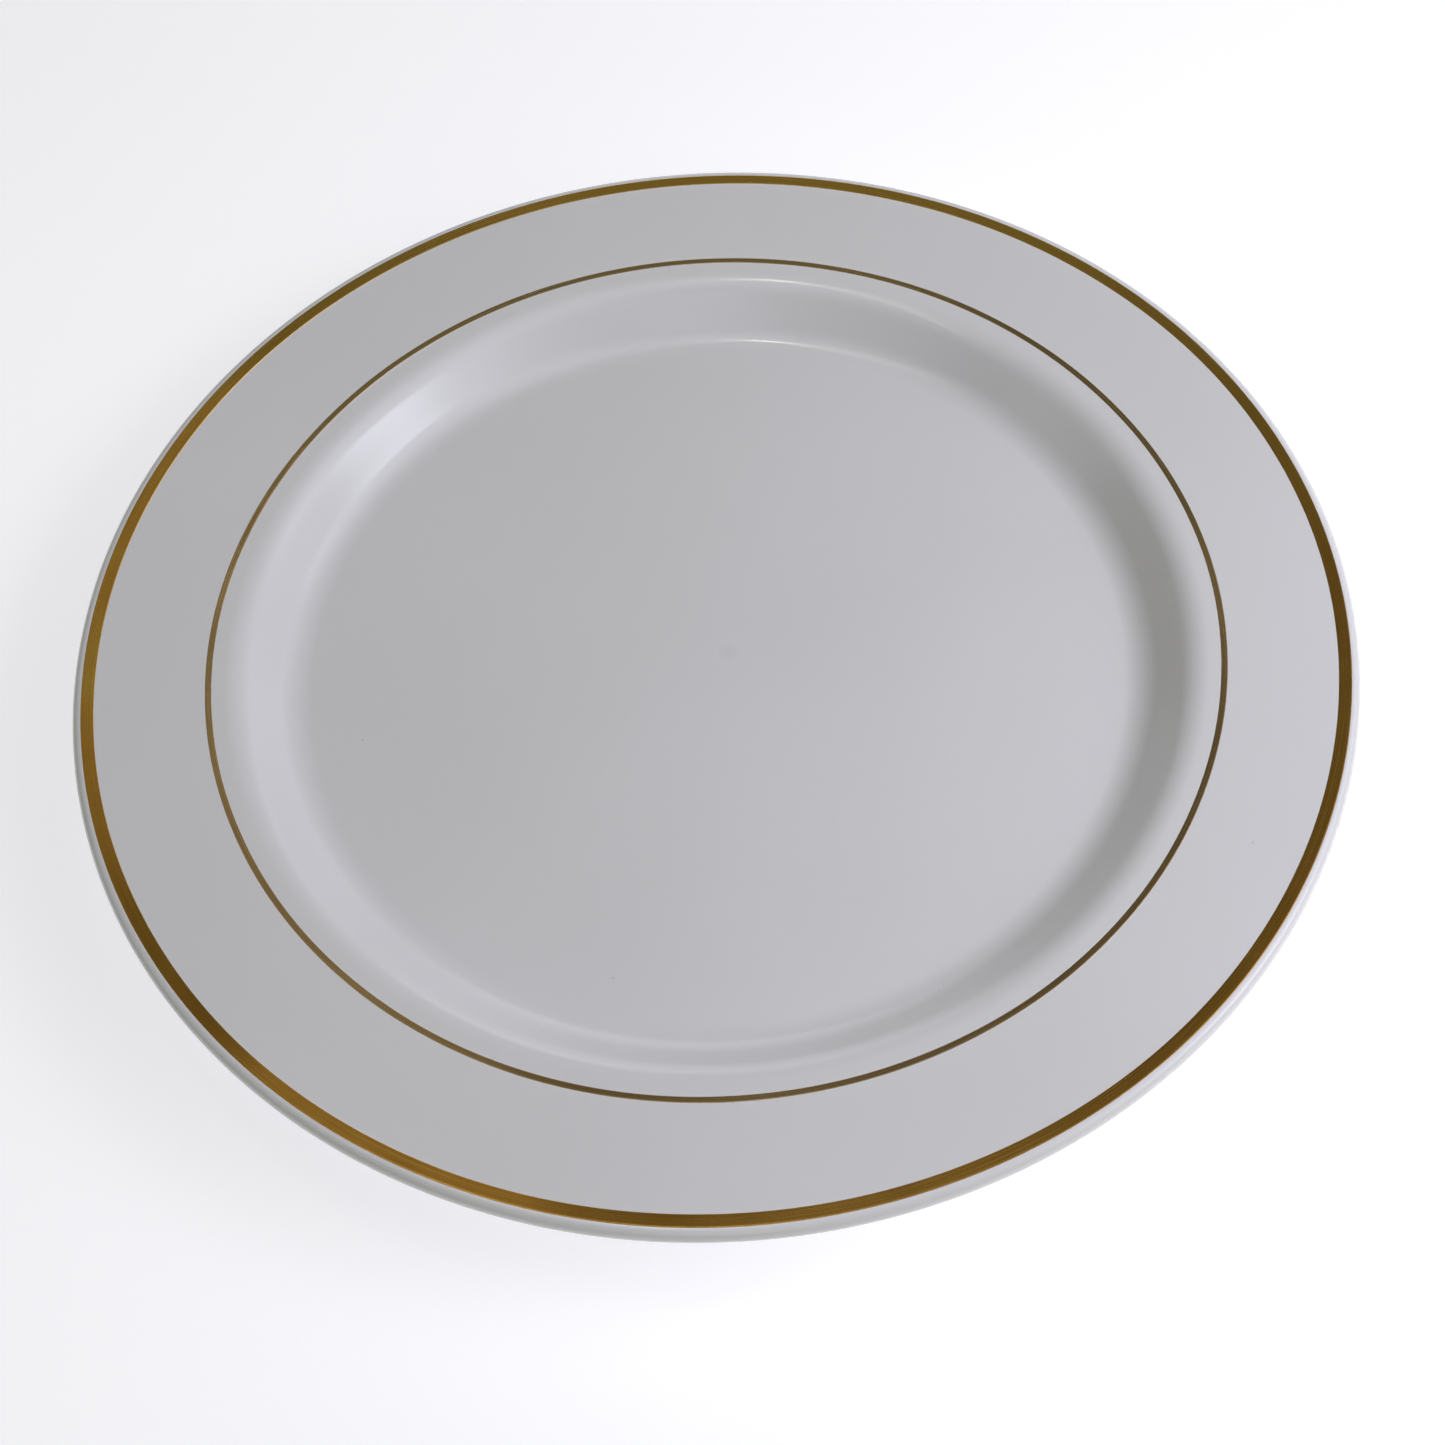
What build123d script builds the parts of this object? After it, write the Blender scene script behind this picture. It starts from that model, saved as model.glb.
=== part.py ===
from build123d import *
import os
from math import radians, tan, sin, cos

# A round china dinner plate with a flat rim, a shallow straight-sided well and
# a foot ring, carrying two fired gold bands. Everything is a solid of
# revolution about +Z. The origin is the centre of the circle on which the foot
# ring stands, so z = 0 is the table.

# ---------------------------------------------------------------- dimensions
plate_diameter = 267.0        # over the rolled lip, a 10 1/2 inch dinner plate
rim_rise = 6.7                # degrees the rim climbs towards its lip
lip_radius = 1.8              # the lip is rounded over, above and below
lip_corner_z = 21.75          # sharp corner of rim top and outer face
lip_thickness = 3.7           # height of the outer face before rounding

floor_z = 8.2                 # upper face of the well's floor
well_corner_r = 90.7          # where floor and wall would meet, unrounded
shoulder_corner_r = 100.0      # where wall and rim would meet, unrounded
well_fillet = 9.0             # soft curve at the foot of the wall
shoulder_fillet = 9.0         # equally soft curve where the wall turns into the rim

floor_under_z = 3.5           # underside of the floor, inside and outside foot
under_wall_r = 92.3           # underside of the wall meets the floor here
under_rim_r = 103.4           # underside of the wall meets the rim here
under_rim_z = 13.85
under_lip_fillet = 14.0
under_wall_fillet = 6.0

foot_outer_top_r = 85.0       # foot ring, leaning outwards a little
foot_outer_r = 83.6
foot_inner_r = 79.0
foot_inner_top_r = 77.2
foot_edge_radius = 0.9
foot_root_outer_radius = 1.4
foot_root_inner_radius = 1.6

gold_thickness = 0.10         # fired gold film, laid on the finished glaze
rim_gold_outer_r = 131.45     # wide band, up to where the lip starts to turn down
rim_gold_inner_r = 128.9
line_gold_outer_r = 106.8     # fine line just outside the shoulder
line_gold_inner_r = 105.5

# ------------------------------------------------------------ worked-out points
plate_r = plate_diameter / 2
slope = tan(radians(rim_rise))


def rim_z(r):
    """Height of the rim's upper face at radius r."""
    return lip_corner_z - (plate_r - r) * slope


def line_corner_z():
    """Height at which the wall meets the rim's upper face."""
    return rim_z(shoulder_corner_r)


# radius at which the rim's flat face runs into the lip's rounding
lip_tangent = lip_radius / tan(radians((90.0 - rim_rise) / 2))
lip_start_r = plate_r - lip_tangent * cos(radians(rim_rise))

os.makedirs("parts", exist_ok=True)


# ---------------------------------------------------------------- plate body
# One fired piece: floor, wall, rim, lip and foot ring.
section = [
    (0.0, floor_z),
    (well_corner_r, floor_z),
    (shoulder_corner_r, line_corner_z()),
    (plate_r, lip_corner_z),
    (plate_r, lip_corner_z - lip_thickness),
    (under_rim_r, under_rim_z),
    (under_wall_r, floor_under_z),
    (foot_outer_top_r, floor_under_z),
    (foot_outer_r, 0.0),
    (foot_inner_r, 0.0),
    (foot_inner_top_r, floor_under_z),
    (0.0, floor_under_z),
]
corner_radius = [
    0.0,
    well_fillet,
    shoulder_fillet,
    lip_radius,
    lip_radius,
    under_lip_fillet,
    under_wall_fillet,
    foot_root_outer_radius,
    foot_edge_radius,
    foot_edge_radius,
    foot_root_inner_radius,
    0.0,
]
with BuildPart() as body:
    with BuildSketch(Plane.XZ):
        with BuildLine():
            FilletPolyline(*section, radius=corner_radius, close=True)
        make_face()
    revolve(axis=Axis.Z, revolution_arc=360)
plate_body = body.part.solids()[0]

# --------------------------------------------------------------- gold films
# Both films lie on the rim's upper face, which is a shallow cone. They share
# that face with the plate and stand proud of it by their own thickness.
def on_rim(r, height):
    """Point above the rim's upper face, square to it, over radius r."""
    a = radians(rim_rise)
    return (r - height * sin(a), rim_z(r) + height * cos(a))


def gold_ring(inner_r, outer_r):
    """Flat ring of film between two radii on the rim."""
    with BuildPart() as ring:
        with BuildSketch(Plane.XZ):
            with BuildLine():
                Polyline(
                    on_rim(inner_r, 0),
                    on_rim(outer_r, 0),
                    on_rim(outer_r, gold_thickness),
                    on_rim(inner_r, gold_thickness),
                    close=True,
                )
            make_face()
        revolve(axis=Axis.Z, revolution_arc=360)
    return ring.part.solids()[0]


rim_gold_band = gold_ring(rim_gold_inner_r, rim_gold_outer_r)
well_gold_line = gold_ring(line_gold_inner_r, line_gold_outer_r)

# -------------------------------------------------------------------- export
pieces = {
    "plate_body": plate_body,
    "rim_gold_band": rim_gold_band,
    "well_gold_line": well_gold_line,
}
for name, solid in pieces.items():
    export_step(solid, f"parts/{name}.step")
    box = solid.bounding_box()
    print(
        name,
        "volume mm3", round(solid.volume, 1),
        "z", round(box.min.Z, 3), round(box.max.Z, 3),
        "r", round(box.max.X, 3),
    )
for name in ("rim_gold_band", "well_gold_line"):
    common = plate_body & pieces[name]
    volume = sum(s.volume for s in common.solids()) if common else 0.0
    print("overlap of", name, "with plate_body, mm3:", round(volume, 4))
print("rim height at gold line", round(rim_z(line_gold_outer_r), 3))
print("lip starts at r", round(lip_start_r, 3), "gold ends at r", rim_gold_outer_r)
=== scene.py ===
import math

import bpy
import bmesh
from mathutils import Matrix, Vector


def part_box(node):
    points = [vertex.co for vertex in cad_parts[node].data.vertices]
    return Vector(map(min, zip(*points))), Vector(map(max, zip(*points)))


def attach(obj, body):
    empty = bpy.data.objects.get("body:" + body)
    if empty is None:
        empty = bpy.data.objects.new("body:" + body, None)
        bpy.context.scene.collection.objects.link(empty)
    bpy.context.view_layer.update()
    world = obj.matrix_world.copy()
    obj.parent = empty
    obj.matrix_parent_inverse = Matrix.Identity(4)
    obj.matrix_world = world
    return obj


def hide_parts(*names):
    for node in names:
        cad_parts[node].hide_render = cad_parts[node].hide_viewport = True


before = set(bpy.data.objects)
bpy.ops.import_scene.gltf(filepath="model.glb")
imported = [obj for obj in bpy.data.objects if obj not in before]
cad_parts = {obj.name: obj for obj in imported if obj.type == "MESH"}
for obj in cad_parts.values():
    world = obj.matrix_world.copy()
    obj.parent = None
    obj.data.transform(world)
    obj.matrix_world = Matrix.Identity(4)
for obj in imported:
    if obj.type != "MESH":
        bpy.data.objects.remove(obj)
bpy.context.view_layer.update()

MM = 0.001
scene = bpy.context.scene

# --------------------------------------------------------------------------
# sizes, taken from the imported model; the half section is worked out in mm
# --------------------------------------------------------------------------
body_low, body_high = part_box("plate_body")
band_low, band_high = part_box("rim_gold_band")
line_low, line_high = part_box("well_gold_line")

PLATE_R = body_high.x / MM                # over the lip
TOP_Z = body_high.z / MM                  # crest of the lip
RIM_RISE = math.radians(6.7)
LIP_R = 1.8                               # rounding of the lip
SLOPE = math.tan(RIM_RISE)
LIP_TANGENT = LIP_R / math.tan((math.pi / 2 - RIM_RISE) / 2)
LIP_C_R = PLATE_R - LIP_R
LIP_C_Z = TOP_Z - LIP_R
LIP_CORNER_Z = LIP_C_Z + LIP_TANGENT
FLOOR_Z = 8.2
UNDER_Z = 3.5
FOOT_IN_R, FOOT_OUT_R = 79.0, 83.6

BAND_OUT_R = band_high.x / MM
BAND_IN_R = BAND_OUT_R - 2.55
LINE_OUT_R = line_high.x / MM
LINE_IN_R = LINE_OUT_R - 1.3

TAU = 2 * math.pi


def rim_z(r):
    return LIP_CORNER_Z - (PLATE_R - r) * SLOPE


def smooth(a, b, x):
    t = min(1.0, max(0.0, (x - a) / (b - a)))
    return t * t * (3 - 2 * t)


# --------------------------------------------------------------------------
# half section with true rounded corners
# --------------------------------------------------------------------------
def rounded(points, radii, arc_step=0.35):
    """Polyline with each inner corner turned into a tangent arc."""
    out = [points[0]]
    for i in range(1, len(points) - 1):
        r = radii[i]
        p, q, s = (Vector(points[j]) for j in (i - 1, i, i + 1))
        if r <= 0:
            out.append(tuple(q))
            continue
        a, b = (p - q).normalized(), (s - q).normalized()
        turn = math.acos(max(-1, min(1, a.dot(b))))
        reach = r / math.tan(turn / 2)
        start, end = q + a * reach, q + b * reach
        centre = q + (a + b).normalized() * (r / math.sin(turn / 2))
        t0 = math.atan2(start.y - centre.y, start.x - centre.x)
        t1 = math.atan2(end.y - centre.y, end.x - centre.x)
        sweep = (t1 - t0 + math.pi) % TAU - math.pi
        n = max(6, int(abs(sweep) * r / arc_step))
        for k in range(n + 1):
            t = t0 + sweep * k / n
            out.append((centre.x + r * math.cos(t), centre.y + r * math.sin(t)))
    out.append(points[-1])
    return out


def densify(points, longest):
    out = [points[0]]
    for p, q in zip(points, points[1:]):
        d = math.dist(p, q)
        n = max(1, int(math.ceil(d / longest(0.5 * (p[0] + q[0])))))
        for k in range(1, n + 1):
            out.append((p[0] + (q[0] - p[0]) * k / n, p[1] + (q[1] - p[1]) * k / n))
    return out


section = [
    (0.0, FLOOR_Z),
    (90.7, FLOOR_Z),
    (100.0, rim_z(100.0)),
    (PLATE_R, LIP_CORNER_Z),
    (PLATE_R, LIP_CORNER_Z - 3.7),
    (103.4, 13.85),
    (92.3, UNDER_Z),
    (85.0, UNDER_Z),
    (FOOT_OUT_R, 0.0),
    (FOOT_IN_R, 0.0),
    (77.2, UNDER_Z),
    (0.0, UNDER_Z),
]
section_r = [0, 9.0, 9.0, LIP_R, LIP_R, 14.0, 6.0, 1.4, 0.9, 0.9, 1.6, 0]

half = rounded(section, section_r)
floor_part, rest = half[:2], half[1:]


def step_for(r):
    return 3.0


half = densify(half, step_for)
# close rings round the centre of the floor, for the mark in the middle of it
first = [p for p in half if p[1] > 6 and p[0] > 7.0 or p[1] <= 6 or p[0] > 20]
centre_rings = [(0.25 * k, FLOOR_Z) for k in range(0, 29)]
half = centre_rings + [p for p in first if not (p[1] > 6 and p[0] <= 7.2)]


# --------------------------------------------------------------------------
# how a fired plate departs from a true solid of revolution
# --------------------------------------------------------------------------
def warp(r, t, z):
    """Height change, mm: slow waves in the rim and the floor, none at the foot."""
    rim = smooth(96, 130, r)
    floor = 1 - smooth(50, 74, r)
    w = rim * (
        0.10 * math.sin(2 * t + 0.7)
        + 0.05 * math.sin(3 * t + 2.1)
        + 0.02 * math.sin(7 * t + 0.4)
    )
    w += floor * (0.05 * (1 - (r / 74) ** 2) * -1.0)
    w += 0.02 * floor * (r / 86) ** 2 * math.sin(2 * t + 1.9)
    return w


MARK_X, MARK_Y = 2.23, 0.75       # small moulding mark near the middle, mm


def mark(x, y):
    d = math.hypot(x - MARK_X, y - MARK_Y)
    pit = -0.09 * math.exp(-((d / 1.35) ** 2))
    ring = 0.015 * math.exp(-(((d - 2.9) / 0.8) ** 2))
    return pit + ring


# --------------------------------------------------------------------------
# lathe
# --------------------------------------------------------------------------
def lathe(name, profile, segments, closed=False, extra=None):
    """Solid of revolution from (r, z) in mm. An open profile starts and ends on
    the axis; a closed one is a ring."""
    verts, faces = [], []
    rings = []
    for r, z in profile:
        if r < 1e-6:
            rings.append([len(verts)])
            dz = warp(0, 0, z) + (extra(0, 0, z) if extra else 0)
            verts.append((0.0, 0.0, (z + dz) * MM))
            continue
        ring = []
        for k in range(segments):
            t = TAU * k / segments
            x, y = r * math.cos(t), r * math.sin(t)
            dz = warp(r, t, z) + (extra(x, y, z) if extra else 0)
            ring.append(len(verts))
            verts.append((x * MM, y * MM, (z + dz) * MM))
        rings.append(ring)
    pairs = list(zip(rings, rings[1:]))
    if closed:
        pairs.append((rings[-1], rings[0]))
    for a, b in pairs:
        for k in range(segments):
            m = (k + 1) % segments
            if len(a) == 1:
                faces.append((a[0], b[k], b[m]))
            elif len(b) == 1:
                faces.append((a[k], b[0], a[m]))
            else:
                faces.append((a[k], b[k], b[m], a[m]))
    mesh = bpy.data.meshes.new(name)
    mesh.from_pydata(verts, [], faces)
    bm = bmesh.new()
    bm.from_mesh(mesh)
    bmesh.ops.recalc_face_normals(bm, faces=bm.faces)
    bm.to_mesh(mesh)
    bm.free()
    mesh.polygons.foreach_set("use_smooth", [True] * len(mesh.polygons))
    mesh.update()
    obj = bpy.data.objects.new(name, mesh)
    scene.collection.objects.link(obj)
    return obj


def floor_mark(x, y, z):
    if z > 6 and x * x + y * y < 60:
        return mark(x, y)
    return 0.0


SEGMENTS = 440
china = lathe("china_plate", half, SEGMENTS, extra=floor_mark)


# --------------------------------------------------------------------------
# gold: thin raised films with rounded edges, a touch uneven like a lined band
# --------------------------------------------------------------------------
def path_rim(r):
    """Point on the plate's upper face at radius r, and its outward normal."""
    t_r = LIP_C_R - LIP_R * math.sin(RIM_RISE)
    if r <= t_r:
        return (r, rim_z(r)), (-math.sin(RIM_RISE), math.cos(RIM_RISE))
    c = (r - LIP_C_R) / LIP_R
    a = math.acos(max(-1, min(1, c)))
    return (LIP_C_R + LIP_R * math.cos(a), LIP_C_Z + LIP_R * math.sin(a)), (
        math.cos(a),
        math.sin(a),
    )


def film(name, r_in, r_out, rise, across, segments, wobble):
    """Closed ring of film between two radii. wobble(t) moves each edge, mm."""
    verts, faces = [], []
    sunk = -0.03
    n = across
    for k in range(segments):
        t = TAU * k / segments
        w_in, w_out = wobble(t)
        a, b = r_in + w_in, r_out + w_out
        ring = []
        for j in range(n + 1):
            s = j / n
            edge = min(s, 1 - s) * (b - a)
            h = rise * (1 - math.exp(-((edge / 0.10) ** 1.0)))
            # gold pools a little along both edges of a lined band
            h += rise * 0.12 * math.exp(-(((edge - 0.16) / 0.09) ** 2))
            ring.append((a + (b - a) * s, h))
        ring += [(a + (b - a) * (1 - j / n), sunk) for j in range(n + 1)]
        for r, h in ring:
            (pr, pz), (nr, nz) = path_rim(r)
            rr, zz = pr + nr * h, pz + nz * h + warp(r, t, pz)
            verts.append((rr * math.cos(t) * MM, rr * math.sin(t) * MM, zz * MM))
    m = 2 * (n + 1)
    for k in range(segments):
        k2 = (k + 1) % segments
        for j in range(m):
            j2 = (j + 1) % m
            faces.append((k * m + j, k2 * m + j, k2 * m + j2, k * m + j2))
    mesh = bpy.data.meshes.new(name)
    mesh.from_pydata(verts, [], faces)
    bm = bmesh.new()
    bm.from_mesh(mesh)
    bmesh.ops.recalc_face_normals(bm, faces=bm.faces)
    bm.to_mesh(mesh)
    bm.free()
    mesh.polygons.foreach_set("use_smooth", [True] * len(mesh.polygons))
    mesh.update()
    obj = bpy.data.objects.new(name, mesh)
    scene.collection.objects.link(obj)
    return obj


def band_wobble(t):
    return (
        0.025 * math.sin(5 * t + 0.3) + 0.015 * math.sin(13 * t + 1.0),
        0.015 * math.sin(4 * t + 2.0) + 0.008 * math.sin(11 * t),
    )


def line_wobble(t):
    return (
        0.02 * math.sin(6 * t + 1.1) + 0.012 * math.sin(17 * t),
        0.02 * math.sin(6 * t + 1.6) + 0.012 * math.sin(19 * t + 0.5),
    )


rim_gold = film("gold_rim_band", BAND_IN_R, BAND_OUT_R, 0.035, 18, 896, band_wobble)
line_gold = film("gold_well_line", LINE_IN_R, LINE_OUT_R, 0.030, 12, 896, line_wobble)


# --------------------------------------------------------------------------
# materials
# --------------------------------------------------------------------------
class Nodes:
    def __init__(self, name):
        self.mat = bpy.data.materials.new(name)
        self.mat.use_nodes = True
        self.tree = self.mat.node_tree
        self.tree.nodes.clear()
        self.out = self.tree.nodes.new("ShaderNodeOutputMaterial")
        self.shader = self.tree.nodes.new("ShaderNodeBsdfPrincipled")
        self.tree.links.new(self.shader.outputs[0], self.out.inputs[0])

    def node(self, kind, **values):
        n = self.tree.nodes.new(kind)
        for k, v in values.items():
            setattr(n, k, v)
        return n

    def link(self, a, b):
        self.tree.links.new(a, b)

    def put(self, socket, value):
        if hasattr(value, "is_output") or isinstance(value, bpy.types.NodeSocket):
            self.link(value, socket)
        else:
            socket.default_value = value

    def math(self, op, a, b=0.0, clamp=False):
        n = self.node("ShaderNodeMath", operation=op, use_clamp=clamp)
        self.put(n.inputs[0], a)
        self.put(n.inputs[1], b)
        return n.outputs[0]

    def vmath(self, op, a, b=(0, 0, 0)):
        n = self.node("ShaderNodeVectorMath", operation=op)
        self.put(n.inputs[0], a)
        self.put(n.inputs[1], b)
        return n.outputs[0]

    def noise(self, vector, scale, detail=3.0, rough=0.55):
        n = self.node("ShaderNodeTexNoise")
        self.put(n.inputs["Vector"], vector)
        n.inputs["Scale"].default_value = scale
        n.inputs["Detail"].default_value = detail
        n.inputs["Roughness"].default_value = rough
        return n.outputs[0]

    def ramp(self, value, stops):
        n = self.node("ShaderNodeValToRGB")
        self.put(n.inputs[0], value)
        e = n.color_ramp.elements
        e[0].position, e[0].color = stops[0][0], (*stops[0][1], 1)
        e[1].position, e[1].color = stops[-1][0], (*stops[-1][1], 1)
        for p, c in stops[1:-1]:
            x = e.new(p)
            x.color = (*c, 1)
        return n.outputs[0]

    def remap(self, value, a, b, c, d):
        n = self.node("ShaderNodeMapRange")
        self.put(n.inputs[0], value)
        for i, v in enumerate((a, b, c, d)):
            n.inputs[1 + i].default_value = v
        return n.outputs[0]

    def mix(self, factor, a, b):
        n = self.node("ShaderNodeMix", data_type="RGBA")
        self.put(n.inputs[0], factor)
        self.put(n.inputs[6], a)
        self.put(n.inputs[7], b)
        return n.outputs[2]

    def bump(self, height, strength, distance, normal=None):
        n = self.node("ShaderNodeBump")
        n.inputs["Strength"].default_value = strength
        n.inputs["Distance"].default_value = distance
        self.put(n.inputs["Height"], height)
        if normal is not None:
            self.link(normal, n.inputs["Normal"])
        return n.outputs[0]

    def coords(self):
        return self.node("ShaderNodeTexCoord").outputs["Object"]


def china_material():
    m = Nodes("china_glaze")
    p = m.coords()
    split = m.node("ShaderNodeSeparateXYZ")
    m.link(p, split.inputs[0])
    flat = m.node("ShaderNodeCombineXYZ")
    m.link(split.outputs[0], flat.inputs[0])
    m.link(split.outputs[1], flat.inputs[1])
    length = m.node("ShaderNodeVectorMath", operation="LENGTH")
    m.link(flat.outputs[0], length.inputs[0])
    r = length.outputs["Value"]

    # body tone: slow cloudiness, then a few iron specks
    cloud = m.noise(p, 14.0, 3.0, 0.5)
    tone = m.ramp(cloud, [(0.30, (0.735, 0.737, 0.755)), (0.70, (0.765, 0.765, 0.785))])
    speck_cells = m.node("ShaderNodeTexVoronoi", feature="F1")
    m.link(p, speck_cells.inputs["Vector"])
    speck_cells.inputs["Scale"].default_value = 95.0
    speck = m.math("LESS_THAN", speck_cells.outputs["Distance"], 0.035)
    rare = m.node("ShaderNodeSeparateColor")
    m.link(speck_cells.outputs["Color"], rare.inputs[0])
    rare_on = m.math("GREATER_THAN", rare.outputs[0], 0.86)
    speck = m.math("MULTIPLY", speck, rare_on)
    speck = m.math("MULTIPLY", speck, 0.25)
    tone = m.mix(speck, tone, (0.45, 0.42, 0.38, 1))

    # the glaze draws thin over the lip and shows the warmer body under it
    lip = m.remap(r, (PLATE_R - 1.5) * MM, (PLATE_R - 0.2) * MM, 0.0, 1.0)
    tone = m.mix(lip, tone, (0.70, 0.695, 0.685, 1))

    # painted shade: the small pit near the middle is darkened in colour
    off = m.vmath("SUBTRACT", flat.outputs[0], (MARK_X * MM, MARK_Y * MM, 0))
    away = m.node("ShaderNodeVectorMath", operation="LENGTH")
    m.link(off, away.inputs[0])
    pit_shade = m.remap(away.outputs["Value"], 0.0003, 0.0028, 0.27, 0.0)
    pit_shade.node.interpolation_type = "SMOOTHSTEP"
    upper = m.math("GREATER_THAN", split.outputs[2], 0.006)
    tone = m.mix(m.math("MULTIPLY", pit_shade, upper), tone, (0.62, 0.62, 0.64, 1))

    # bare china on the standing face of the foot ring
    low = m.remap(split.outputs[2], 0.00012, 0.00045, 1.0, 0.0)
    bare = low
    grain = m.noise(p, 1400.0, 2.0, 0.6)
    bare_tone = m.ramp(grain, [(0.35, (0.60, 0.575, 0.53)), (0.65, (0.70, 0.68, 0.64))])
    colour = m.mix(bare, tone, bare_tone)
    m.link(colour, m.shader.inputs["Base Color"])

    # glaze: glossy, slightly uneven, faint circling wipe marks on the floor
    spin = m.vmath("NORMALIZE", flat.outputs[0])
    spin = m.vmath("SCALE", spin)
    spin.node.inputs["Scale"].default_value = 2.2
    ringed = m.node("ShaderNodeCombineXYZ")
    sp = m.node("ShaderNodeSeparateXYZ")
    m.link(spin, sp.inputs[0])
    m.link(sp.outputs[0], ringed.inputs[0])
    m.link(sp.outputs[1], ringed.inputs[1])
    m.link(m.math("MULTIPLY", r, 420.0), ringed.inputs[2])
    rings = m.noise(ringed.outputs[0], 1.0, 2.0, 0.5)
    patch = m.noise(p, 30.0, 3.0, 0.6)
    rough = m.remap(patch, 0.3, 0.7, 0.165, 0.205)
    rough = m.math("ADD", rough, m.remap(rings, 0.45, 0.75, 0.0, 0.03))
    rough = m.math("ADD", rough, m.math("MULTIPLY", bare, 0.6), clamp=True)
    m.link(rough, m.shader.inputs["Roughness"])

    peel = m.noise(p, 260.0, 2.0, 0.5)
    slow = m.noise(p, 38.0, 1.0, 0.4)
    n1 = m.bump(slow, 0.35, 0.00030)
    n2 = m.bump(peel, 0.30, 0.000012, n1)
    tooth = m.math("MULTIPLY", grain, bare)
    n3 = m.bump(tooth, 0.5, 0.00010, n2)
    m.link(n3, m.shader.inputs["Normal"])
    m.shader.inputs["IOR"].default_value = 1.52
    m.shader.inputs["Coat Weight"].default_value = 0.4
    m.shader.inputs["Coat Roughness"].default_value = 0.07
    m.shader.inputs["Coat IOR"].default_value = 1.5
    return m.mat


def gold_material(name, deep, middle, light, pale, glint_lobes):
    m = Nodes(name)
    p = m.coords()
    split = m.node("ShaderNodeSeparateXYZ")
    m.link(p, split.inputs[0])
    flat = m.node("ShaderNodeCombineXYZ")
    m.link(split.outputs[0], flat.inputs[0])
    m.link(split.outputs[1], flat.inputs[1])
    length = m.node("ShaderNodeVectorMath", operation="LENGTH")
    m.link(flat.outputs[0], length.inputs[0])
    r = length.outputs["Value"]
    turn = m.vmath("NORMALIZE", flat.outputs[0])
    t = m.node("ShaderNodeSeparateXYZ")
    m.link(turn, t.inputs[0])
    # brush lines run round the plate: coarse along the band, fine across it
    brushed = m.node("ShaderNodeCombineXYZ")
    m.link(m.math("MULTIPLY", t.outputs[0], 5.0), brushed.inputs[0])
    m.link(m.math("MULTIPLY", t.outputs[1], 5.0), brushed.inputs[1])
    m.link(m.math("MULTIPLY", r, 9000.0), brushed.inputs[2])
    lines = m.noise(brushed.outputs[0], 1.0, 4.0, 0.6)
    drift = m.noise(p, 22.0, 3.0, 0.6)
    grain = m.noise(p, 2600.0, 2.0, 0.6)
    both = m.math("ADD", m.math("MULTIPLY", lines, 0.35), m.math("MULTIPLY", drift, 0.65))
    colour = m.ramp(both, [(0.30, deep), (0.52, middle), (0.74, light)])
    # paler gold along the far side: a painted sheen standing in for how that side reflects
    # the light
    a = math.radians(82)
    toward = m.vmath("DOT_PRODUCT", turn, (math.cos(a), math.sin(a), 0))
    far = m.remap(toward.node.outputs["Value"], 0.0, 0.75, 0.0, 1.0)
    far.node.interpolation_type = "SMOOTHSTEP"
    colour = m.mix(far, colour, pale)
    # painted highlights and painted shade round the ring: the gold colour is raised where
    # glints fall and lowered where it looks shaded, varied a little by the drift noise
    rise = None
    for az, spread, gain in glint_lobes:
        a = math.radians(az)
        toward = m.vmath("DOT_PRODUCT", turn, (math.cos(a), math.sin(a), 0))
        dot = toward.node.outputs["Value"]
        glint_lobe = m.remap(dot, 1 - 2.2 * spread, 1 - 0.1 * spread, 0.0, gain)
        glint_lobe.node.interpolation_type = "SMOOTHSTEP"
        rise = glint_lobe if rise is None else m.math("ADD", rise, glint_lobe)
    uneven = m.remap(drift, 0.3, 0.7, 0.8, 1.2)
    rise = m.math("ADD", m.math("MULTIPLY", rise, uneven), 1.0)
    lift = m.node("ShaderNodeVectorMath", operation="SCALE")
    m.link(colour, lift.inputs[0])
    m.link(rise, lift.inputs["Scale"])
    m.link(lift.outputs[0], m.shader.inputs["Base Color"])
    m.shader.inputs["Metallic"].default_value = 1.0
    rough = m.remap(lines, 0.3, 0.7, 0.17, 0.28)
    rough = m.math("ADD", rough, m.remap(drift, 0.3, 0.7, -0.02, 0.04), clamp=True)
    m.link(rough, m.shader.inputs["Roughness"])
    n1 = m.bump(lines, 0.30, 0.000007)
    n2 = m.bump(grain, 0.20, 0.000005, n1)
    m.link(n2, m.shader.inputs["Normal"])
    return m.mat


def give(obj, mat):
    obj.data.materials.clear()
    obj.data.materials.append(mat)


give(china, china_material())
band_gold = gold_material(
    "gold_band_lustre",
    (0.401, 0.210, 0.040),
    (0.492, 0.260, 0.052),
    (0.588, 0.336, 0.078),
    # the pale colour is a painted sheen for the far side; the tuples below give azimuth,
    # spread and gain of painted highlights (positive gain) and painted shade (negative gain)
    (0.690, 0.426, 0.096, 1),
    (
        (-75, 0.035, 0.05),
        (-119, 0.026, 1.00),
        (176, 0.095, 1.00),
        (-8, 0.33, -0.12),
        (-150, 0.030, 0.10),
        (92, 0.060, 0.12),
        (30, 0.030, -0.08),
    ),
)
give(rim_gold, band_gold)
thin_gold = gold_material(
    "gold_line_lustre",
    (0.397, 0.264, 0.127),
    (0.489, 0.333, 0.170),
    (0.580, 0.414, 0.225),
    # the pale colour is a painted sheen for the far side; the tuples below give azimuth,
    # spread and gain of painted highlights (positive gain) and painted shade (negative gain)
    (0.568, 0.410, 0.200, 1),
    (
        (-158, 0.25, 0.65),
        (-45, 0.10, -0.18),
        (0, 0.015, 0.18),
        (150, 0.06, 0.12),
        (38, 0.06, -0.20),
    ),
)
give(line_gold, thin_gold)

for piece, node, slot in (
    (china, "plate_body", "china_glaze"),
    (rim_gold, "rim_gold_band", "gold_lustre"),
    (line_gold, "well_gold_line", "gold_lustre"),
):
    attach(piece, "root")
    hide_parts(node)

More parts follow.
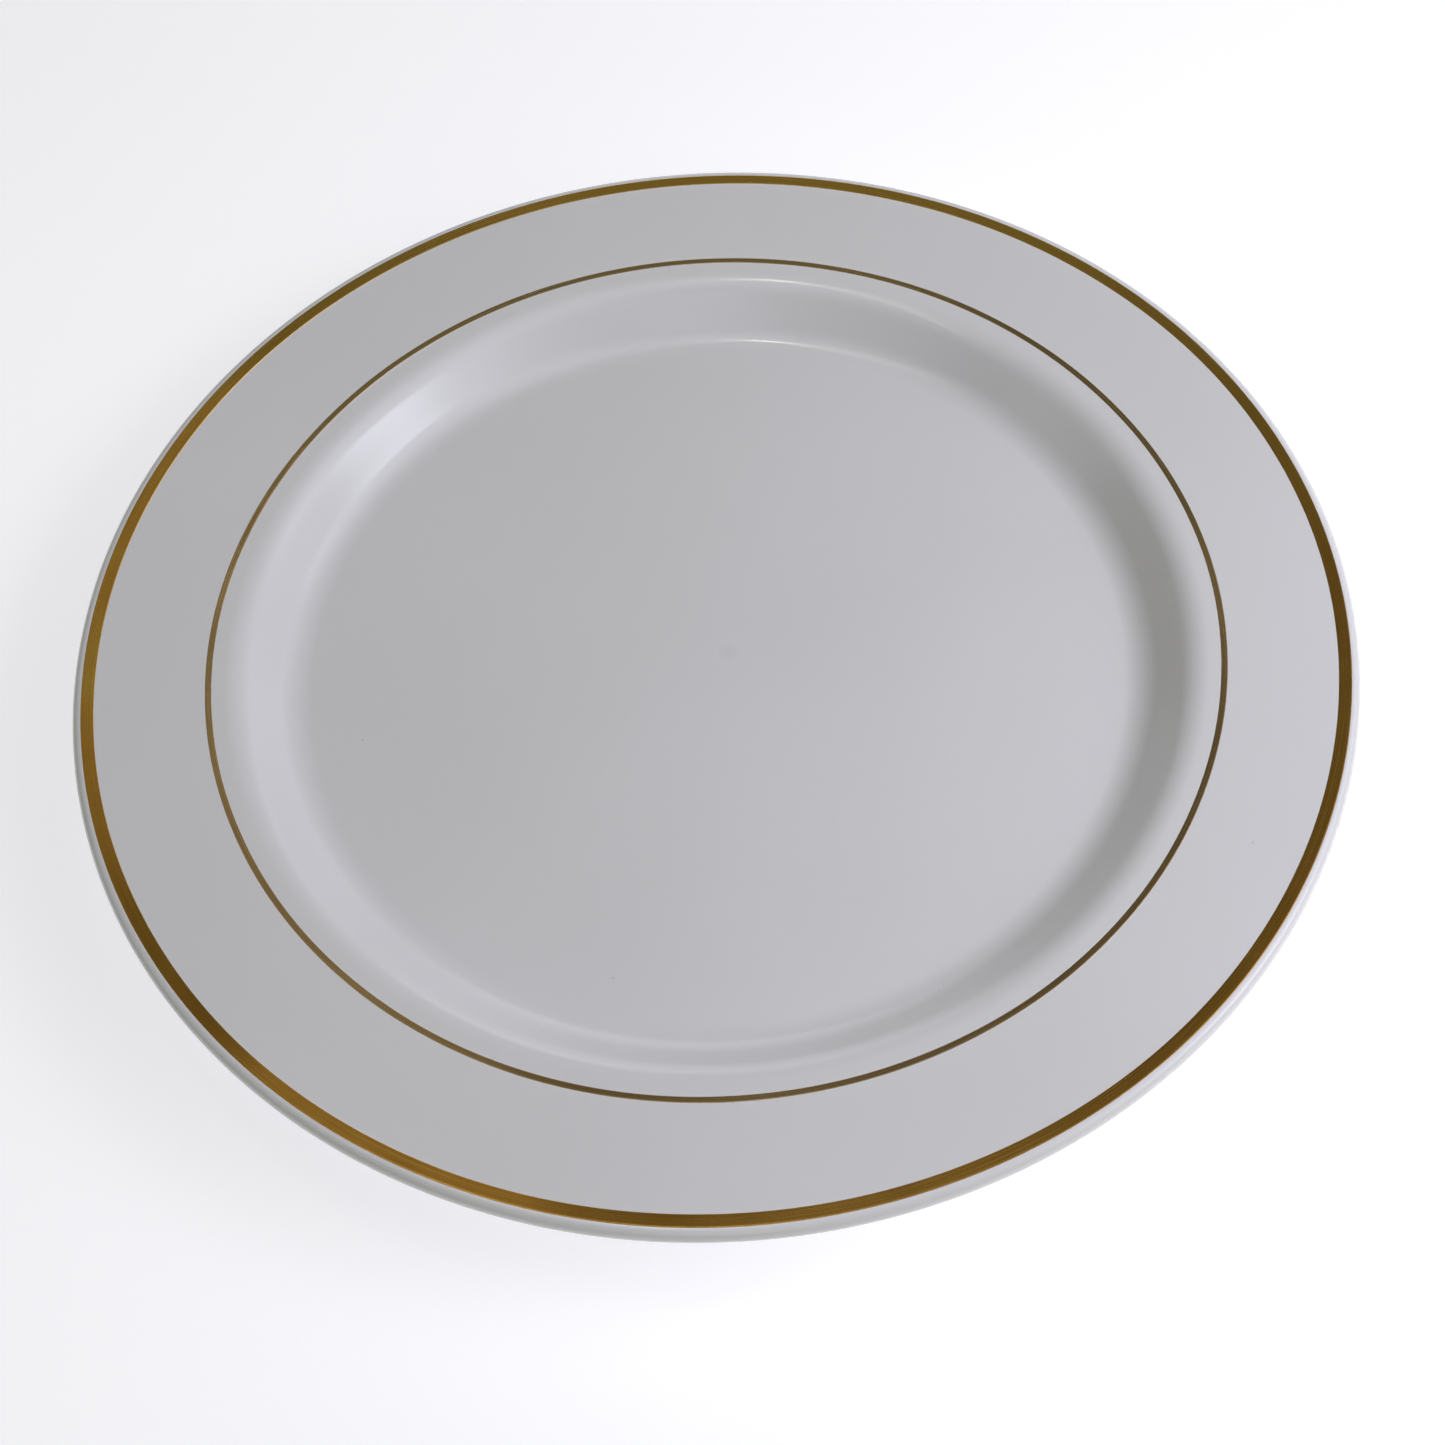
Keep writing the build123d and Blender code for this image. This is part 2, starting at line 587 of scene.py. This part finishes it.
# --------------------------------------------------------------------------
# stage: plain pale floor
# --------------------------------------------------------------------------
def disc(name, radius, segments, rings, z=0.0):
    verts, faces = [(0, 0, z)], []
    for i in range(1, rings + 1):
        rr = radius * (i / rings) ** 2
        for k in range(segments):
            t = TAU * k / segments
            verts.append((rr * math.cos(t), rr * math.sin(t), z))
    for k in range(segments):
        faces.append((0, 1 + k, 1 + (k + 1) % segments))
    for i in range(rings - 1):
        for k in range(segments):
            a = 1 + i * segments + k
            b = 1 + i * segments + (k + 1) % segments
            faces.append((a, a + segments, b + segments, b))
    mesh = bpy.data.meshes.new(name)
    mesh.from_pydata(verts, [], faces)
    mesh.update()
    obj = bpy.data.objects.new(name, mesh)
    scene.collection.objects.link(obj)
    return obj


stage = disc("studio_floor", 6.0, 96, 24)
sm = Nodes("studio_floor_paint")
fp = sm.coords()
sm.link(
    sm.ramp(sm.noise(fp, 3.0, 2.0), [(0.3, (0.69, 0.69, 0.70)), (0.7, (0.73, 0.73, 0.735))]),
    sm.shader.inputs["Base Color"],
)
sm.shader.inputs["Roughness"].default_value = 0.8
sm.shader.inputs["Emission Color"].default_value = (1, 1, 1.05, 1)
sm.shader.inputs["Emission Strength"].default_value = 0.50
give(stage, sm.mat)

# --------------------------------------------------------------------------
# light
# --------------------------------------------------------------------------
world = bpy.data.worlds.new("studio_air")
world.use_nodes = True
scene.world = world
bg = world.node_tree.nodes.get("Background")
if bg is None:
    bg = world.node_tree.nodes.new("ShaderNodeBackground")
bg.inputs[0].default_value = (1.023, 1.013, 0.778, 1)
bg.inputs[1].default_value = 0.171
# behind everything the eye sees the same pale tone as the floor
seen = world.node_tree.nodes.new("ShaderNodeBackground")
seen.inputs[0].default_value = (0.93, 0.93, 0.94, 1)
seen.inputs[1].default_value = 0.67
path = world.node_tree.nodes.new("ShaderNodeLightPath")
pick = world.node_tree.nodes.new("ShaderNodeMixShader")
world_out = world.node_tree.nodes.get("World Output")
if world_out is None:
    world_out = world.node_tree.nodes.new("ShaderNodeOutputWorld")
world.node_tree.links.new(path.outputs["Is Camera Ray"], pick.inputs[0])
world.node_tree.links.new(bg.outputs[0], pick.inputs[1])
world.node_tree.links.new(seen.outputs[0], pick.inputs[2])
world.node_tree.links.new(pick.outputs[0], world_out.inputs[0])


def area(
    name,
    azimuth,
    elevation,
    distance,
    width,
    height,
    power,
    colour=(1, 1, 1),
    mirrored=True,
):
    """Rectangular light aimed at the plate. Azimuth 0 is +X, 90 is +Y. One that
    isn't mirrored is a fill light: it lights the plate and throws no glare."""
    a, e = math.radians(azimuth), math.radians(elevation)
    aim = Vector((0, 0, 0.015))
    where = aim + distance * Vector(
        (math.cos(e) * math.cos(a), math.cos(e) * math.sin(a), math.sin(e))
    )
    data = bpy.data.lights.new(name, "AREA")
    data.shape = "RECTANGLE"
    data.size, data.size_y = width, height
    data.energy = power
    data.color = colour
    # a diffused panel: brightest in the middle, fading out to its frame
    data.use_nodes = True
    tree = data.node_tree
    tree.nodes.clear()
    out = tree.nodes.new("ShaderNodeOutputLight")
    glow = tree.nodes.new("ShaderNodeEmission")
    tree.links.new(glow.outputs[0], out.inputs[0])
    spot = tree.nodes.new("ShaderNodeNewGeometry")
    sides = tree.nodes.new("ShaderNodeSeparateXYZ")
    tree.links.new(spot.outputs["Parametric"], sides.inputs[0])
    fades = []
    for k in (0, 1):
        # 1 at the middle, 0 at both ends: 4 u (1 - u), then eased
        rest = tree.nodes.new("ShaderNodeMath")
        rest.operation = "SUBTRACT"
        rest.inputs[0].default_value = 1.0
        tree.links.new(sides.outputs[k], rest.inputs[1])
        bell = tree.nodes.new("ShaderNodeMath")
        bell.operation = "MULTIPLY"
        tree.links.new(sides.outputs[k], bell.inputs[0])
        tree.links.new(rest.outputs[0], bell.inputs[1])
        ease = tree.nodes.new("ShaderNodeMapRange")
        ease.interpolation_type = "SMOOTHSTEP"
        tree.links.new(bell.outputs[0], ease.inputs[0])
        ease.inputs[1].default_value = 0.0
        ease.inputs[2].default_value = 0.23
        ease.inputs[3].default_value = 0.0
        ease.inputs[4].default_value = 1.0
        fades.append(ease.outputs[0])
    both = tree.nodes.new("ShaderNodeMath")
    both.operation = "MULTIPLY"
    tree.links.new(fades[0], both.inputs[0])
    tree.links.new(fades[1], both.inputs[1])
    gain = tree.nodes.new("ShaderNodeMath")
    gain.operation = "MULTIPLY"
    tree.links.new(both.outputs[0], gain.inputs[0])
    gain.inputs[1].default_value = 2.2
    tree.links.new(gain.outputs[0], glow.inputs[1])
    obj = bpy.data.objects.new(name, data)
    scene.collection.objects.link(obj)
    obj.location = where
    obj.rotation_euler = (aim - where).to_track_quat("-Z", "Y").to_euler()
    obj.visible_glossy = mirrored
    return obj


COOL = (0.993, 0.991, 1.124)            # tint of the soft panels
LIGHTS = [
    # name, azimuth, elevation, distance, width, height, watts, colour, mirrored
    ("panel_right", 0, 50, 0.90, 1.00, 1.00, 1.580, COOL, True),
    ("panel_right_low", -25, 25, 0.45, 0.25, 0.25, 0.138, COOL, False),
    ("panel_right_near", 0, 40, 0.45, 0.25, 0.25, 0.269, COOL, False),
    ("panel_front_right", -46, 37, 0.45, 0.25, 0.25, 0.127, COOL, False),
    ("window_right_front", -26, 40, 0.84, 0.62, 0.30, 0.225, COOL, True),
    ("window_right", -8, 38, 0.84, 0.40, 0.30, 0.382, COOL, True),
    ("panel_back_low", 90, 12, 0.90, 0.45, 0.45, 0.289, COOL, True),
    ("panel_back_right", 30, 30, 0.90, 0.60, 0.60, 0.215, COOL, True),
    ("panel_back_low_right", 57, 13, 0.90, 0.80, 0.50, 0.305, COOL, True),
    ("overhead", 90, 89.9, 0.90, 0.70, 0.70, 0.410, COOL, True),
    ("panel_front", 270, 50, 0.90, 0.45, 0.45, 0.156, COOL, True),
    ("panel_left", 180, 30, 0.90, 0.45, 0.45, 0.125, COOL, True),
    ("ceiling_lamp", 118, 80, 0.90, 0.054, 0.054, 0.108, (1.0, 0.95, 0.74), True),
]
for spec in LIGHTS:
    area(*spec)

# a dim tube running from the lamp towards the left
tube = area("ceiling_tube", 168, 73, 0.90, 0.46, 0.06, 0.085, (1.0, 0.98, 0.90))
aim_z = (tube.location - Vector((0, 0, 0.015))).normalized()
run = Vector((-0.343, -0.211, -0.090))
run = (run - aim_z * run.dot(aim_z)).normalized()
side = aim_z.cross(run)
turned = Matrix.Identity(4)
for i in range(3):
    turned[i][0], turned[i][1], turned[i][2] = run[i], side[i], aim_z[i]
    turned[i][3] = tube.location[i]
tube.matrix_world = turned

# --------------------------------------------------------------------------
# camera
# --------------------------------------------------------------------------
W = 1445.0
EL, ROLL = math.radians(58.85), math.radians(2.53)
SCALE = BAND_OUT_R / 130.0
DIST, TX, TY = 430.0 * SCALE, -14.4 * SCALE, 33.3 * SCALE
FOCAL, PX, PY = 2079.0, 791.0, 777.0
REF_Z = rim_z(BAND_OUT_R)
back = Vector((0, -math.cos(EL), math.sin(EL)))
right = Vector((1, 0, 0))
up = back.cross(right)
eye = Vector((0, 0, REF_Z)) - right * TX - up * TY + back * DIST
cr, sr = math.cos(ROLL), math.sin(ROLL)
cam_x = right * cr - up * sr
cam_y = right * sr + up * cr
m = Matrix.Identity(4)
for i in range(3):
    m[i][0], m[i][1], m[i][2], m[i][3] = cam_x[i], cam_y[i], back[i], eye[i] * MM
cam_data = bpy.data.cameras.new("camera")
cam = bpy.data.objects.new("camera", cam_data)
scene.collection.objects.link(cam)
cam.matrix_world = m
cam_data.sensor_fit = "HORIZONTAL"
cam_data.sensor_width = 36.0
cam_data.lens = FOCAL * 36.0 / W
cam_data.shift_x = -(PX - W / 2) / W
cam_data.shift_y = (PY - W / 2) / W
cam_data.clip_start = 0.01
cam_data.clip_end = 50.0
scene.camera = cam

scene.view_settings.view_transform = "Standard"
scene.view_settings.look = "None"
scene.view_settings.exposure = 0.0
scene.view_settings.gamma = 1.0

scene.cycles.use_denoising = True
